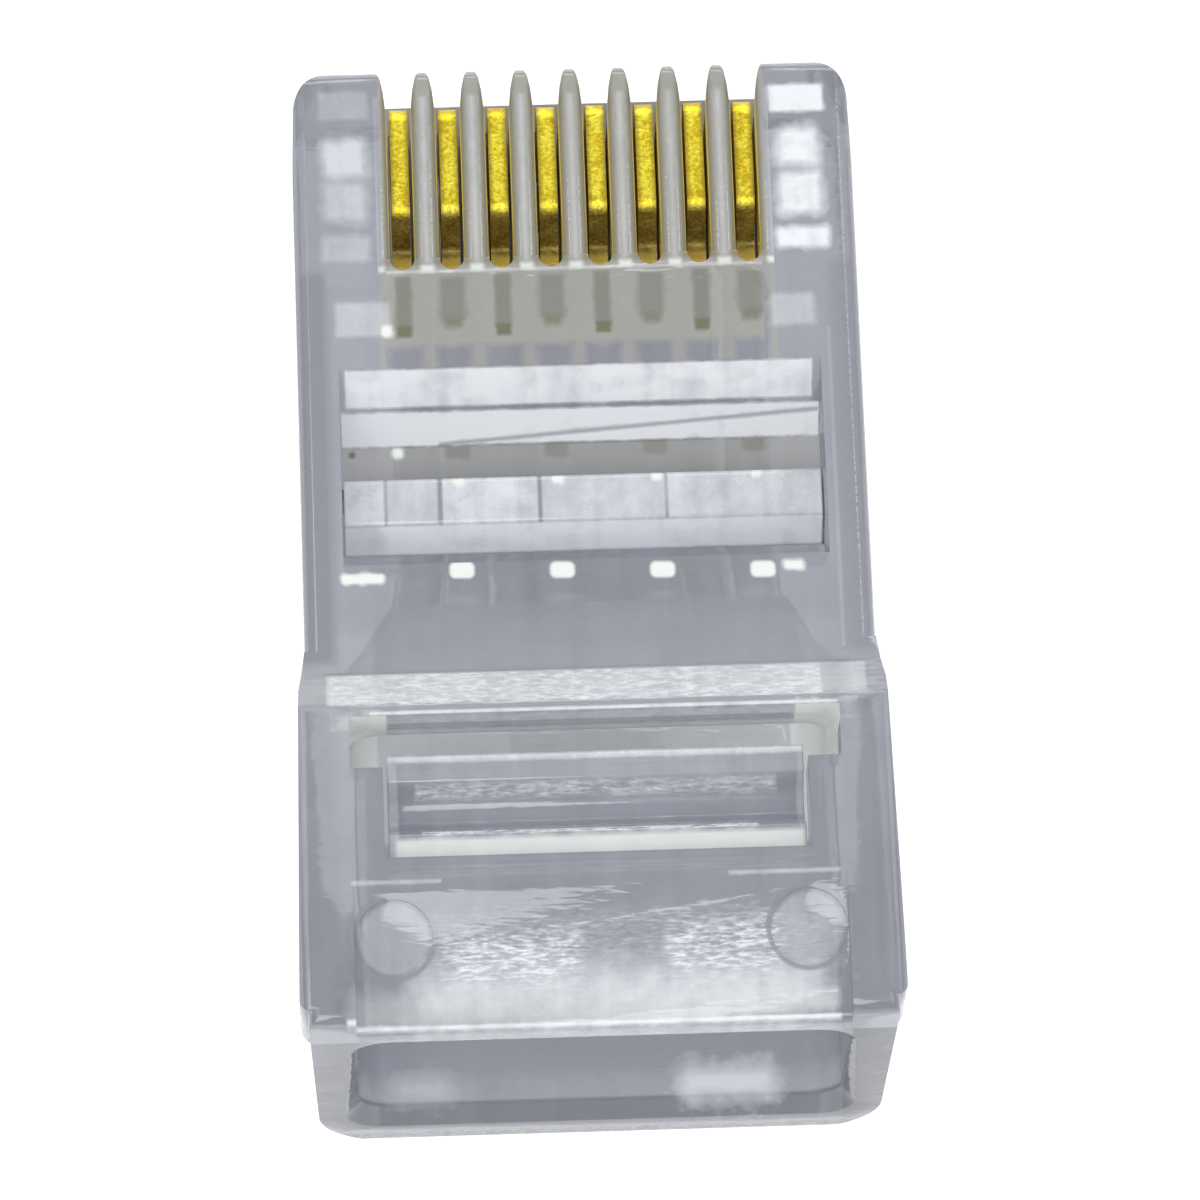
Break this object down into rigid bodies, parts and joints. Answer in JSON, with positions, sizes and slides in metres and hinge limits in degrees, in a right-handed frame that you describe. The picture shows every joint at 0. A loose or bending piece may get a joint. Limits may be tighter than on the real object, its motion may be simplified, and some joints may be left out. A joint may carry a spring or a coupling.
{
  "type": "modular plug",
  "caption": "Clear modular plug for twisted-pair cable, with recessed blade contacts, a sprung latch, and crimp-down wire and cable clamps.",
  "frame": {"origin": "centre of the nose face, the end that enters the jack first", "axes": "+Y points out of the nose, the way the plug is pushed in; +Z points out of the contact side, with the latch on the -Z side; +X runs across the contacts, from position 1 towards the last"},
  "size_m": [0.0122, 0.0211, 0.0111],
  "materials": {
    "clear_plastic": "glossy, water-clear",
    "contact_gold": "gold-plated, fine-grained"
  },
  "bodies": {
    "plug": {"housing": "clear_plastic"},
    "latch_arm": {"latch": "clear_plastic"},
    "cable_bar": {"cable_clamp": "clear_plastic"},
    "wire_bar": {"wire_clamp": "clear_plastic"},
    "blade_1": {"contact_1": "contact_gold"},
    "blade_2": {"contact_2": "contact_gold"},
    "blade_3": {"contact_3": "contact_gold"},
    "blade_4": {"contact_4": "contact_gold"},
    "blade_5": {"contact_5": "contact_gold"},
    "blade_6": {"contact_6": "contact_gold"},
    "blade_7": {"contact_7": "contact_gold"},
    "blade_8": {"contact_8": "contact_gold"}
  },
  "joints": [
    {"name": "latch_flex", "type": "hinge", "parent": "plug", "child": "latch_arm", "pos_m": [0, -0.0025, -0.0044], "axis": [-1, 0, 0], "range_deg": [0, 11], "stiffness_Nm_per_rad": 0.28},
    {"name": "cable_clamp_turn", "type": "hinge", "parent": "plug", "child": "cable_bar", "pos_m": [0, -0.0172, 0.0033], "axis": [-1, 0, 0], "range_deg": [0, 30]},
    {"name": "wire_clamp_press", "type": "slide", "parent": "plug", "child": "wire_bar", "axis": [0, 0, -1], "range_m": [0, 0.0005]},
    {"name": "contact_1_press", "type": "slide", "parent": "plug", "child": "blade_1", "axis": [0, 0, -1], "range_m": [0, 0.0006]},
    {"name": "contact_2_press", "type": "slide", "parent": "plug", "child": "blade_2", "axis": [0, 0, -1], "range_m": [0, 0.0006]},
    {"name": "contact_3_press", "type": "slide", "parent": "plug", "child": "blade_3", "axis": [0, 0, -1], "range_m": [0, 0.0006]},
    {"name": "contact_4_press", "type": "slide", "parent": "plug", "child": "blade_4", "axis": [0, 0, -1], "range_m": [0, 0.0006]},
    {"name": "contact_5_press", "type": "slide", "parent": "plug", "child": "blade_5", "axis": [0, 0, -1], "range_m": [0, 0.0006]},
    {"name": "contact_6_press", "type": "slide", "parent": "plug", "child": "blade_6", "axis": [0, 0, -1], "range_m": [0, 0.0006]},
    {"name": "contact_7_press", "type": "slide", "parent": "plug", "child": "blade_7", "axis": [0, 0, -1], "range_m": [0, 0.0006]},
    {"name": "contact_8_press", "type": "slide", "parent": "plug", "child": "blade_8", "axis": [0, 0, -1], "range_m": [0, 0.0006]}
  ]
}
